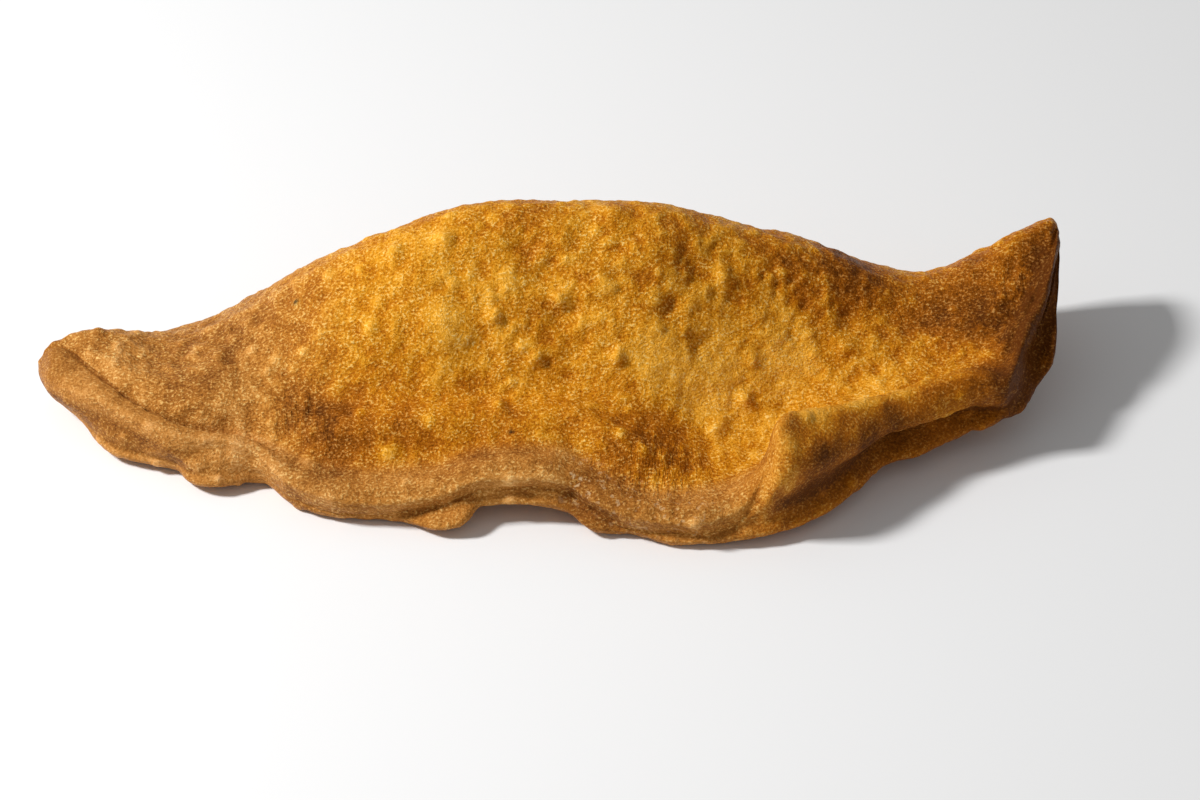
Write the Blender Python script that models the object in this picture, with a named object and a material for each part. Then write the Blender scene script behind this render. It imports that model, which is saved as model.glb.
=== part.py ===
"""A pepperoni panzerotto: a disc of leavened dough folded over its filling, pinched shut and deep-fried.

The solid is one closed crust. Its cross-sections stand at stations along the length (x), and each one runs
from the upper layer's rounded edge, over the puffed belly to the fold at the back, and home along the
underside to the lower layer's edge and the seam between the two layers. Swells, hollows and the large
blisters are then raised on that skin. Sizes are millimetres until the mesh is made.
+X runs to the horned tip, +Y to the fold, +Z up; the origin is the middle of the base.
"""

import math

import bmesh
import bpy
import numpy as np
from mathutils import Vector, noise

MM = 0.001

# Driving sizes of the whole turnover.
HALF_LENGTH = 100.0
STATIONS = 100
LEFT_ROUND = 4.0
RIGHT_ROUND = 1.8
END_SLIT = 0.1
END_EASE = 0.5

# Rails: how each named size of the cross-section changes along the length, as (station, size) pairs.
# The upper layer ends in a rounded edge, whose middle, half thickness and tilt from the level these give.
EDGE_Y = [(-100, 0.4), (-96, -3.4), (-83, -11.8), (-71, -19.1), (-55.5, -22.4), (-50, -27.6), (-30, -33.1),
          (-21, -32.9), (-12, -31.1), (3, -31.2), (10, -35), (27, -38.8), (33, -37.8), (36.5, -36.6),
          (39, -34.9), (41, -33.2), (45, -30), (54, -25.3), (67.6, -17.4), (78, -13.1), (87, -12), (92, 0),
          (96.5, 10), (100, 22)]
EDGE_Z = [(-100, 8.4), (-90, 8.9), (-71, 7.4), (-63, 8.1), (-48, 5.4), (-33, 5), (-20, 7), (-12, 9.6),
          (-1, 10), (8, 7), (27, 5.2), (34, 5.8), (37, 7.2), (39, 9.4), (41, 13.6), (42, 17), (43, 18.7),
          (44.5, 19), (46.5, 18.2), (50, 17.2), (56, 16), (67.6, 14.6), (80, 15.8), (86, 15), (92, 17.2),
          (95, 19.4), (98, 23), (100, 24.6)]
EDGE_TILT = [(-100, 16), (-92, 28), (-60, 36), (-50, 10), (26, 0), (33, 12), (37, 34), (39.5, 52), (42, 82),
             (45, 106), (48, 112), (60.7, 102), (84, 94), (89, 45), (94, 15), (100, 10)]
EDGE_HALF = [(-100, 2.6), (-92, 3.4), (-80, 3.7), (-70, 3.2), (-63, 1.9), (-56, 2.1), (-48, 3), (30, 3.1),
             (50, 3.9), (74, 3.4), (86, 3.2), (93, 2.8), (97, 2.2), (100, 1.6)]

# The groove that the crimp presses behind that edge, or the foot of the lip's hidden side.
GROOVE_Y = [(-100, 3), (-94, 2), (-90, -2.4), (-79.7, -12.4), (-70.5, -17.6), (-56, -20), (-45, -25.6),
            (-33, -28), (-21, -28), (-12, -26.6), (3, -26.6), (10, -30), (21, -33.4), (40, -27), (47, -21.5),
            (54, -19.2), (60.7, -15.4), (74, -9.6), (86, -6.8), (91, 1.5), (95, 9.5), (98, 16), (100, 26)]
GROOVE_Z = [(-100, 11.8), (-94, 12.6), (-85, 12.2), (-70.5, 9.8), (-47, 8.2), (-21, 10), (-12, 12.4), (-1, 13),
            (8, 10.6), (21, 7.8), (34, 7.8), (47, 10.8), (74, 13.6), (88, 16.4), (92, 19.4), (95, 21.8),
            (98, 24.8), (100, 26)]

# The upper skin: the soft roll behind the groove, the valley, the belly's face, its crest and the fold.
ROLL_Z = [(-100, 10.4), (-94, 12.8), (-88, 13.4), (-76, 12.2), (-58, 14), (-50, 12), (-35, 14.6), (9, 16),
          (17, 13.6), (24, 9.8), (32, 8.2), (42, 8.6), (56, 11.4), (84, 15), (100, 26)]
VALLEY_Z = [(-100, 10.6), (-88, 14.2), (-74, 13.4), (-62, 16), (-52, 14.6), (-42, 14.6), (-30, 16),
            (-14, 16.4), (11, 14.8), (34, 9), (56, 11.8), (92, 18.6), (100, 26.4)]
FACE_RISE = [(-100, 0.5), (-35, 0.62), (75, 0.42), (100, 0.5)]
CREST_Y = [(-100, 4), (-94, 5), (-75, 4.4), (-56, 6), (-32, 8), (-18, 10), (10, 11), (36, 12.5), (72, 15.5),
           (92, 22.4), (100, 26.6)]
CREST_Z = [(-100, 10.8), (-88, 15.2), (-82, 13.8), (-75, 11.4), (-66, 15.2), (-45, 28.6), (-25, 37.2),
           (-18, 39.4), (-8, 40.2), (10, 39), (17, 39.4), (36, 32.4), (50, 27.8), (58, 24.2), (72, 18.4),
           (80, 19.6), (88, 23.4), (94, 25.8), (100, 25.6)]
FOLD_Y = [(-100, 5.4), (-88, 9.6), (-75, 12), (-56, 19), (22, 31), (50, 30), (72, 26.5), (100, 31)]
FOLD_Z = [(-100, 8.6), (-75, 8.5), (-56, 10.5), (-5, 15.5), (50, 12.5), (72, 9.5), (82, 11.5), (100, 23.4)]
FOOT_Z = [(-100, 5.6), (-92, 2.4), (-60, -0.8), (60, -0.8), (92, 6), (96, 9.5), (100, 23.5)]

# The lower layer comes out under the upper one. The seam between them is a crease in the rim's front, as high
# as this and as deep, and the upper layer swells out over it by a share of its height.
SEAM_Z = [(-100, 6.8), (-86, 4), (-71, 3.8), (-64, 4.6), (-48, 3), (-33, 2.6), (-20, 4.4), (-12, 6.4),
          (-2, 6.8), (14, 2.8), (27, 3), (38, 5), (50, 7), (58, 8.6), (66, 9.8), (76, 9.6), (86.6, 10),
          (90, 13), (95, 16.6), (98, 20.4), (100, 24)]
SEAM_DEPTH = [(-100, 0.2), (30, 0.4), (50, 0.8), (56, 2.4), (64, 3.4), (78, 2.6), (88, 1), (100, 0.2)]
SWELL = [(-100, 0.05), (-90, 0.1), (-60, 0.1), (34, 0.08), (40, 0.16), (46, 0.32), (54, 0.36), (62, 0.46),
         (70, 0.46), (78, 0.34), (86, 0.18), (92, 0.1)]
LOWER_Y = [(-100, -1.4), (-91, -9), (-87.4, -14.4), (-76.6, -20.2), (-71.6, -21.4), (-69, -25), (-64, -27.2),
           (-54.8, -24.6), (-50, -29.8), (-45, -33), (-27, -36.2), (-21.5, -38.9), (-16.8, -38.7),
           (-12.6, -34.6), (2.8, -35.4), (8.6, -38.8), (15, -39), (21, -41.3), (27, -42.2), (39.6, -41.4),
           (59, -28.8), (63, -23.9), (71, -20.6), (76.5, -16.9), (80, -15.2), (86.4, -13.4), (90.6, -11),
           (95.2, -4.8), (97, -2.6), (99.5, 16), (100, 22)]
LOWER_Z = [(-100, 6), (-90, 3.6), (-71, 2.5), (-64, 3.2), (-55, 2.1), (-39, 1.8), (-20, 2.8), (-12, 5),
           (-1, 5.3), (7, 3), (14, 1.8), (27, 2), (40, 3.2), (63, 5), (86, 7.6), (93.6, 10), (99, 20),
           (100, 24.4)]

# Where the sections' other points lie, as shares of the distances between the rails.
ROLL_SHARE = 0.15
VALLEY_SHARE = 0.33
FACE_SHARE = 0.64
SHOULDER_OUT = 0.62
SHOULDER_UP = 0.68
SPREAD = 5.0
SEAM_CLEAR = 0.6
SEAM_LOWEST = 0.8
FOOT_CLEAR = 0.6
BACK_IN = 0.3
BACK_UP = 0.3
REST_IN = 0.15
NOSE_ANGLE = math.radians(8)
TOP_ANGLE = math.radians(64)
CHIN_ANGLE = math.radians(-38)
HEEL_BACK = 1.5
HEEL_DROP = 1.8
FOOT_SET_BACK = 4.0
FOOT_SLANT = 1.3

# Forms raised on the upper skin, or pressed into it, as (x, y, z, radius, height) of each one's middle.
SWELLS = [(-26, 2, 34, 8, 0.9), (-21, -9, 24, 7, 0.8), (8, -0.5, 32, 6, 0.8), (12, 11, 39, 5, 0.9),
          (19, 4, 35, 6, 0.6), (-43, -4, 24, 4, 0.6), (64, 2, 15, 7, 0.6), (79, 4, 16, 8, 0.9),
          (90, 0, 18, 5, 0.7)]
HOLLOWS = [(-5, 4, 36.5, 5.5, -1), (-1, 0, 32.5, 4.5, -0.8), (2, -5.5, 26.5, 4.5, -0.7),
           (-13, -10, 21.5, 6, -0.7), (-12, 7.5, 39.5, 4, -0.7), (5.5, 7, 38, 4, -0.6),
           (27, 3.5, 31.5, 4.5, -0.6), (24, -3, 27, 5, -0.6), (29.5, -6, 21, 5.5, -0.7),
           (28, -14, 13, 5, -0.6), (57, 4, 19, 5, -0.6), (-63, 0, 16.5, 4, -0.6), (-60, -6, 16.5, 4.5, -0.6)]
BLISTERS = [(2, -3.5, 29, 2.8, 1), (-10.5, -6, 27, 2.6, 0.8), (-2.5, -10, 20.5, 2.8, 0.9),
            (13, -10.5, 21, 3, 1), (-9.5, -19, 16, 2.8, 0.9), (-20, 5, 37, 3, 1), (-29.5, 4.5, 34.5, 3, 0.8),
            (20.5, 1.5, 32, 2.8, 0.8), (26, 2.5, 31, 2.8, 0.8), (33.5, 4.5, 28.5, 3, 0.9),
            (32, -17.5, 9, 3.4, 1), (37.5, -12, 11.5, 3, 0.9), (39, -6, 16.5, 3, 0.8),
            (57, -1, 15.5, 3.4, 0.7), (-88, 5.5, 15.5, 2.4, 1)]

# Slow lumps all over, as the dough puffs unevenly.
LUMP_HEIGHT = 0.35
LUMP_LENGTH = 8.5

# Points laid along each stretch of the section, from the upper edge over the top and back along the underside.
STRETCHES = (2, 3, 3, 4, 7, 7, 5, 4, 3, 2, 3, 2, 2, 2, 2, 2, 2)


def along(rail, x):
    """The size that a rail gives at station x, by a smooth curve through its points that doesn't overshoot."""
    xs, vs = np.array(rail, float).T
    steps = np.diff(xs)
    rises = np.diff(vs) / steps
    slopes = np.zeros(len(xs))
    slopes[0], slopes[-1] = rises[0], rises[-1]
    for k in range(1, len(xs) - 1):
        if rises[k - 1] * rises[k] > 0:
            mean = (rises[k - 1] * steps[k] + rises[k] * steps[k - 1]) / (steps[k - 1] + steps[k])
            cap = 2.5 * min(abs(rises[k - 1]), abs(rises[k]))
            slopes[k] = math.copysign(min(abs(mean), cap), mean)
    x = min(max(x, xs[0]), xs[-1])
    i = min(max(int(np.searchsorted(xs, x, side="right")) - 1, 0), len(xs) - 2)
    t = (x - xs[i]) / steps[i]
    return (
        vs[i] * (1 + 2 * t) * (1 - t) ** 2
        + slopes[i] * steps[i] * t * (1 - t) ** 2
        + vs[i + 1] * t * t * (3 - 2 * t)
        - slopes[i + 1] * steps[i] * t * t * (1 - t)
    )


def eased(rail, x):
    """The size that a rail of the broad upper skin gives near station x, averaged over the spread."""
    return sum(along(rail, x + SPREAD * k) for k in (-1, -0.5, 0, 0.5, 1)) / 5


def section_corners(x):
    """The named points of the cross-section at station x, as (y, z) rows, in order round it."""
    edge = np.array([along(EDGE_Y, x), along(EDGE_Z, x)])
    tilt = math.radians(along(EDGE_TILT, x))
    out = np.array([-math.cos(tilt), math.sin(tilt)])
    up = np.array([math.sin(tilt), math.cos(tilt)])
    half = along(EDGE_HALF, x)
    groove = np.array([along(GROOVE_Y, x), along(GROOVE_Z, x)])
    crest = np.array([eased(CREST_Y, x), eased(CREST_Z, x)])
    reach = crest[0] - groove[0]
    valley = np.array([groove[0] + VALLEY_SHARE * reach, eased(VALLEY_Z, x)])
    face = np.array([groove[0] + FACE_SHARE * reach, valley[1] + eased(FACE_RISE, x) * (crest[1] - valley[1])])
    fold = np.array([eased(FOLD_Y, x), eased(FOLD_Z, x)])
    depth = fold[0] - crest[0]
    lower = np.array([along(LOWER_Y, x), along(LOWER_Z, x)])
    foot = min(along(FOOT_Z, x), lower[1] - FOOT_CLEAR)
    tip, top, chin = (
        edge + (out * math.cos(angle) + up * math.sin(angle)) * half
        for angle in (NOSE_ANGLE, TOP_ANGLE, CHIN_ANGLE)
    )
    height = min(along(SEAM_Z, x), chin[1] - SEAM_CLEAR)
    share = (chin[1] - height) / max(chin[1] - lower[1], SEAM_CLEAR)
    seam = chin + min(share, SEAM_LOWEST) * (lower - chin) + (along(SEAM_DEPTH, x), 0)
    rise = chin - seam
    cheek = (chin + seam) / 2 + along(SWELL, x) * np.array([-rise[1], rise[0]])
    return np.array([
        tip,
        top,
        groove,
        (groove[0] + ROLL_SHARE * reach, eased(ROLL_Z, x)),
        valley,
        face,
        crest,
        (crest[0] + SHOULDER_OUT * depth, fold[1] + SHOULDER_UP * (crest[1] - fold[1])),
        fold,
        (fold[0] - BACK_IN * depth, foot + BACK_UP * (fold[1] - foot)),
        (crest[0] + REST_IN * depth, foot),
        (lower[0] + FOOT_SET_BACK + FOOT_SLANT * (lower[1] - foot), foot),
        (lower[0] + HEEL_BACK, max(lower[1] - HEEL_DROP, foot)),
        lower,
        seam,
        cheek,
        chin,
    ])


def round_curve(corners, counts):
    """Points along a closed smooth curve through the corners, with the given number in each stretch."""
    before, after, beyond = (np.roll(corners, k, axis=0) for k in (1, -1, -2))
    points = []
    for a, b, c, d, n in zip(before, corners, after, beyond, counts):
        ab, bc, cd = (math.sqrt(max(np.linalg.norm(q - p), 0.05)) for p, q in ((a, b), (b, c), (c, d)))
        leave = (c - b) / bc - (c - a) / (ab + bc) + (b - a) / ab
        arrive = (d - c) / cd - (d - b) / (bc + cd) + (c - b) / bc
        for t in np.arange(n) / n:
            points.append(
                b * (1 + 2 * t) * (1 - t) ** 2
                + leave * bc * t * (1 - t) ** 2
                + c * t * t * (3 - 2 * t)
                - arrive * bc * t * t * (1 - t)
            )
    return np.array(points)


def close_end(ring, x):
    """Thins the section towards its middle line near a tip, so that the tip is rounded and not cut square."""
    size = LEFT_ROUND if x < 0 else RIGHT_ROUND
    gap = HALF_LENGTH - abs(x)
    if gap >= size:
        return ring
    share = math.sqrt(1 - (1 - gap / size) ** 2)
    low, high = ring[:, 0].min(), ring[:, 0].max()
    middle = (low + high) / 2
    line = np.interp(ring[:, 0], [low, high], [along(SEAM_Z, x), along(FOLD_Z, x)])
    pull = 1 - (1 - share) * size / max((high - low) / 2, size)
    return np.stack([middle + (ring[:, 0] - middle) * pull, line + (ring[:, 1] - line) * share], axis=1)


def stations(count):
    """Stations along the length, closer together where the tips round off."""
    t = np.linspace(-1, 1, count)
    even = HALF_LENGTH * t
    close = HALF_LENGTH * np.sin(t * math.pi / 2)
    places = (1 - END_EASE) * even + END_EASE * close
    return np.clip(places, -HALF_LENGTH + END_SLIT, HALF_LENGTH - END_SLIT)


def skin(count, counts):
    """The crust's points, as rows of sections: (section, point round it, xyz)."""
    rows = []
    for x in stations(count):
        ring = close_end(round_curve(section_corners(x), counts), x)
        rows.append(np.column_stack([np.full(len(ring), x), ring]))
    return np.array(rows)


def outward(points):
    """The skin's outward direction at each of its points."""
    across = np.roll(points, -1, axis=1) - np.roll(points, 1, axis=1)
    length = np.gradient(points, axis=0)
    normals = np.cross(length, across)
    return normals / np.maximum(np.linalg.norm(normals, axis=2, keepdims=True), 1e-6)


def dress(points):
    """The skin with its swells, hollows, blisters and slow lumps raised along its outward direction."""
    normals = outward(points)
    rise = np.zeros(points.shape[:2])
    for x, y, z, radius, height in SWELLS + HOLLOWS + BLISTERS:
        away = np.linalg.norm(points - (x, y, z), axis=2) / radius
        rise += height * np.clip(1 - away * away, 0, 1) ** 2
    for index in np.ndindex(rise.shape):
        rise[index] += LUMP_HEIGHT * noise.noise(Vector(points[index]) / LUMP_LENGTH)
    return points + normals * rise[:, :, None]


def mesh_of(points, name):
    """One closed mesh over the rows of sections, with a face across each tip."""
    rows, round_count = points.shape[:2]
    model = bmesh.new()
    verts = [[model.verts.new(p * MM) for p in row] for row in points]
    for lower, upper in zip(verts, verts[1:]):
        for k in range(round_count):
            j = (k + 1) % round_count
            model.faces.new((lower[k], upper[k], upper[j], lower[j]))
    model.faces.new(verts[0])
    model.faces.new(reversed(verts[-1]))
    bmesh.ops.recalc_face_normals(model, faces=model.faces)
    mesh = bpy.data.meshes.new(name)
    model.to_mesh(mesh)
    model.free()
    return mesh


def crust_material():
    """Fried dough: golden brown, a little glossy from the oil."""
    material = bpy.data.materials.new("fried_dough")
    material.use_nodes = True
    surface = material.node_tree.nodes["Principled BSDF"]
    surface.inputs["Base Color"].default_value = (0.56, 0.27, 0.06, 1)
    surface.inputs["Roughness"].default_value = 0.45
    surface.inputs["Metallic"].default_value = 0.0
    return material


def main():
    for old in list(bpy.data.objects):
        bpy.data.objects.remove(old)
    points = dress(skin(STATIONS, STRETCHES))
    points[:, :, 2] = np.maximum(points[:, :, 2], 0)
    low, high = points.reshape(-1, 3).min(0), points.reshape(-1, 3).max(0)
    points -= [(low[0] + high[0]) / 2, (low[1] + high[1]) / 2, low[2]]
    crust = bpy.data.objects.new("panzerotto", mesh_of(points, "panzerotto"))
    crust.data.materials.append(crust_material())
    crust.data.shade_smooth()
    bpy.context.scene.collection.objects.link(crust)


main()
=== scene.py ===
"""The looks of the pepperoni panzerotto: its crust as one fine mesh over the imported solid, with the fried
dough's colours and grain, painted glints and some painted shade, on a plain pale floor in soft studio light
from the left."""

import math

import bmesh
import bpy
import numpy as np
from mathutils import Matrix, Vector, kdtree, noise


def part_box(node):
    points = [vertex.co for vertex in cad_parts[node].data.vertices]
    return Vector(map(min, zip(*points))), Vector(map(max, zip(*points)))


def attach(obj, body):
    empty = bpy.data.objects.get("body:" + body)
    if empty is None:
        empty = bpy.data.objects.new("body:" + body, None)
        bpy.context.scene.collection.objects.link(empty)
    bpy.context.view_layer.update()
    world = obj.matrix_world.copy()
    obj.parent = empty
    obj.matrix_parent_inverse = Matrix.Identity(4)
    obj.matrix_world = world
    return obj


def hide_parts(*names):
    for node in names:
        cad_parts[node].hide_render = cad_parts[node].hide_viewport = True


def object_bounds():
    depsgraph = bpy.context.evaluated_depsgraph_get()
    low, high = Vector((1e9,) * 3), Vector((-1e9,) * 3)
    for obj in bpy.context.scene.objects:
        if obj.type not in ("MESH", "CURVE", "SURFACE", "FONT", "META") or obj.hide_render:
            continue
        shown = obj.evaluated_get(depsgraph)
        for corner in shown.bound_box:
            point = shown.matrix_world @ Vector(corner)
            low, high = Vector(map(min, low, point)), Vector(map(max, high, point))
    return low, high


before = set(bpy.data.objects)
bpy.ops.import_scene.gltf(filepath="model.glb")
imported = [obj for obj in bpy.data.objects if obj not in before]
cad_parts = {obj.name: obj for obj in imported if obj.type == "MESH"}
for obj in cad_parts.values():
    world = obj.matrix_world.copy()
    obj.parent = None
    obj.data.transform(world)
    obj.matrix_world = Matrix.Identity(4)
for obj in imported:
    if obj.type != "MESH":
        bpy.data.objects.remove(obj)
cad_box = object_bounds()


# The crust's form: one disc of leavened dough folded over the filling, its edges pinched together in a wavy
# rim that curls up into a lip at the right, and the tip there pulled up into a horn. It is lofted through
# cross-sections along the length, as the CAD solid is, in millimetres of the same design.
MM = 0.001
HALF_LENGTH = 100.0
STATIONS = 480
LEFT_ROUND = 4.0
RIGHT_ROUND = 1.8
END_SLIT = 0.1
END_EASE = 0.5

# Rails: how each named size of the cross-section changes along the length, as (station, size) pairs.
# The upper layer ends in a rounded edge, whose middle, half thickness and tilt from the level these give.
EDGE_Y = [(-100, 0.4), (-96, -3.4), (-83, -11.8), (-71, -19.1), (-55.5, -22.4), (-50, -27.6), (-30, -33.1),
          (-21, -32.9), (-12, -31.1), (3, -31.2), (10, -35), (27, -38.8), (33, -37.8), (36.5, -36.6),
          (39, -34.9), (41, -33.2), (45, -30), (54, -25.3), (67.6, -17.4), (78, -13.1), (87, -12), (92, 0),
          (96.5, 10), (100, 22)]
EDGE_Z = [(-100, 8.4), (-90, 8.9), (-71, 7.4), (-63, 8.1), (-48, 5.4), (-33, 5), (-20, 7), (-12, 9.6),
          (-1, 10), (8, 7), (27, 5.2), (34, 5.8), (37, 7.2), (39, 9.4), (41, 13.6), (42, 17), (43, 18.7),
          (44.5, 19), (46.5, 18.2), (50, 17.2), (56, 16), (67.6, 14.6), (80, 15.8), (86, 15), (92, 17.2),
          (95, 19.4), (98, 23), (100, 24.6)]
EDGE_TILT = [(-100, 16), (-92, 28), (-60, 36), (-50, 10), (26, 0), (33, 12), (37, 34), (39.5, 52), (42, 82),
             (45, 106), (48, 112), (60.7, 102), (84, 94), (89, 45), (94, 15), (100, 10)]
EDGE_HALF = [(-100, 2.6), (-92, 3.4), (-80, 3.7), (-70, 3.2), (-63, 1.9), (-56, 2.1), (-48, 3), (30, 3.1),
             (50, 3.9), (74, 3.4), (86, 3.2), (93, 2.8), (97, 2.2), (100, 1.6)]

# The groove that the crimp presses behind that edge, or the foot of the lip's hidden side.
GROOVE_Y = [(-100, 3), (-94, 2), (-90, -2.4), (-79.7, -12.4), (-70.5, -17.6), (-56, -20), (-45, -25.6),
            (-33, -28), (-21, -28), (-12, -26.6), (3, -26.6), (10, -30), (21, -33.4), (40, -27), (47, -21.5),
            (54, -19.2), (60.7, -15.4), (74, -9.6), (86, -6.8), (91, 1.5), (95, 9.5), (98, 16), (100, 26)]
GROOVE_Z = [(-100, 11.8), (-94, 12.6), (-85, 12.2), (-70.5, 9.8), (-47, 8.2), (-21, 10), (-12, 12.4),
            (-1, 13), (8, 10.6), (21, 7.8), (34, 7.8), (47, 10.8), (74, 13.6), (88, 16.4), (92, 19.4),
            (95, 21.8), (98, 24.8), (100, 26)]

# The upper skin: the soft roll behind the groove, the valley, the belly's face, its crest and the fold.
ROLL_Z = [(-100, 10.4), (-94, 12.8), (-88, 13.4), (-76, 12.2), (-58, 14), (-50, 12), (-35, 14.6), (9, 16),
          (17, 13.6), (24, 9.8), (32, 8.2), (42, 8.6), (56, 11.4), (84, 15), (100, 26)]
VALLEY_Z = [(-100, 10.6), (-88, 14.2), (-74, 13.4), (-62, 16), (-52, 14.6), (-42, 14.6), (-30, 16),
            (-14, 16.4), (11, 14.8), (34, 9), (56, 11.8), (92, 18.6), (100, 26.4)]
FACE_RISE = [(-100, 0.5), (-35, 0.62), (75, 0.42), (100, 0.5)]
CREST_Y = [(-100, 4), (-94, 5), (-75, 4.4), (-56, 6), (-32, 8), (-18, 10), (10, 11), (36, 12.5), (72, 15.5),
           (92, 22.4), (100, 26.6)]
CREST_Z = [(-100, 10.8), (-88, 15.2), (-82, 13.8), (-75, 11.4), (-66, 15.2), (-45, 28.6), (-25, 37.2),
           (-18, 39.4), (-8, 40.2), (10, 39), (17, 39.4), (36, 32.4), (50, 27.8), (58, 24.2), (72, 18.4),
           (80, 19.6), (88, 23.4), (94, 25.8), (100, 25.6)]
FOLD_Y = [(-100, 5.4), (-88, 9.6), (-75, 12), (-56, 19), (22, 31), (50, 30), (72, 26.5), (100, 31)]
FOLD_Z = [(-100, 8.6), (-75, 8.5), (-56, 10.5), (-5, 15.5), (50, 12.5), (72, 9.5), (82, 11.5), (100, 23.4)]
FOOT_Z = [(-100, 5.6), (-92, 2.4), (-60, -0.8), (60, -0.8), (92, 6), (96, 9.5), (100, 23.5)]

# The lower layer comes out under the upper one. The seam between them is a crease in the rim's front, as high
# as this and as deep, and the upper layer swells out over it by a share of its height.
SEAM_Z = [(-100, 6.8), (-86, 4), (-71, 3.8), (-64, 4.6), (-48, 3), (-33, 2.6), (-20, 4.4), (-12, 6.4),
          (-2, 6.8), (14, 2.8), (27, 3), (38, 5), (50, 7), (58, 8.6), (66, 9.8), (76, 9.6), (86.6, 10),
          (90, 13), (95, 16.6), (98, 20.4), (100, 24)]
SEAM_DEPTH = [(-100, 0.2), (30, 0.4), (50, 0.8), (56, 2.4), (64, 3.4), (78, 2.6), (88, 1), (100, 0.2)]
SWELL = [(-100, 0.05), (-90, 0.1), (-60, 0.1), (34, 0.08), (40, 0.16), (46, 0.32), (54, 0.36), (62, 0.46),
         (70, 0.46), (78, 0.34), (86, 0.18), (92, 0.1)]
LOWER_Y = [(-100, -1.4), (-91, -9), (-87.4, -14.4), (-76.6, -20.2), (-71.6, -21.4), (-69, -25), (-64, -27.2),
           (-54.8, -24.6), (-50, -29.8), (-45, -33), (-27, -36.2), (-21.5, -38.9), (-16.8, -38.7),
           (-12.6, -34.6), (2.8, -35.4), (8.6, -38.8), (15, -39), (21, -41.3), (27, -42.2), (39.6, -41.4),
           (59, -28.8), (63, -23.9), (71, -20.6), (76.5, -16.9), (80, -15.2), (86.4, -13.4), (90.6, -11),
           (95.2, -4.8), (97, -2.6), (99.5, 16), (100, 22)]
LOWER_Z = [(-100, 6), (-90, 3.6), (-71, 2.5), (-64, 3.2), (-55, 2.1), (-39, 1.8), (-20, 2.8), (-12, 5),
           (-1, 5.3), (7, 3), (14, 1.8), (27, 2), (40, 3.2), (63, 5), (86, 7.6), (93.6, 10), (99, 20),
           (100, 24.4)]

# Where the sections' other points lie: shares of the distances between the rails, angles round the upper
# layer's edge, and distances. The broad upper skin's rails are averaged over the spread on each side.
ROLL_SHARE = 0.15
VALLEY_SHARE = 0.33
FACE_SHARE = 0.64
SHOULDER_OUT = 0.62
SHOULDER_UP = 0.68
SPREAD = 5.0
SEAM_CLEAR = 0.6
SEAM_LOWEST = 0.8
FOOT_CLEAR = 0.6
BACK_IN = 0.3
BACK_UP = 0.3
REST_IN = 0.15
NOSE_ANGLE = math.radians(8)
TOP_ANGLE = math.radians(64)
CHIN_ANGLE = math.radians(-38)
HEEL_BACK = 1.5
HEEL_DROP = 1.8
FOOT_SET_BACK = 4.0
FOOT_SLANT = 1.3

# Points laid along each stretch of the section, from the upper edge over the top and back along the
# underside. No stretch counts as shorter than the least one. At each of its points a rail is at most the
# steepest number of times as steep as the flatter of the two steps beside it.
STRETCHES = (8, 10, 10, 14, 26, 26, 20, 14, 8, 4, 8, 4, 6, 8, 6, 6, 6)
LEAST_STRETCH = 0.05
STEEPEST = 2.5


def curve(start, leave, stop, arrive, t):
    """The value at share t of a smooth curve from start to stop, leaving and arriving at the given slopes."""
    return (
        start * (1 + 2 * t) * (1 - t) ** 2
        + leave * t * (1 - t) ** 2
        + stop * t * t * (3 - 2 * t)
        - arrive * t * t * (1 - t)
    )


def along(rail, x):
    """The size that a rail gives at station x, by a smooth curve through its points that never overshoots."""
    xs, vs = np.array(rail, float).T
    steps = np.diff(xs)
    rises = np.diff(vs) / steps
    slopes = np.zeros(len(xs))
    slopes[0], slopes[-1] = rises[0], rises[-1]
    for k in range(1, len(xs) - 1):
        if rises[k - 1] * rises[k] > 0:
            mean = (rises[k - 1] * steps[k] + rises[k] * steps[k - 1]) / (steps[k - 1] + steps[k])
            cap = STEEPEST * min(abs(rises[k - 1]), abs(rises[k]))
            slopes[k] = math.copysign(min(abs(mean), cap), mean)
    x = min(max(x, xs[0]), xs[-1])
    i = min(max(int(np.searchsorted(xs, x, side="right")) - 1, 0), len(xs) - 2)
    t = (x - xs[i]) / steps[i]
    return curve(vs[i], slopes[i] * steps[i], vs[i + 1], slopes[i + 1] * steps[i], t)


def eased(rail, x):
    """The size that a rail of the broad upper skin gives near station x, averaged over the spread."""
    return sum(along(rail, x + SPREAD * k) for k in (-1, -0.5, 0, 0.5, 1)) / 5


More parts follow.
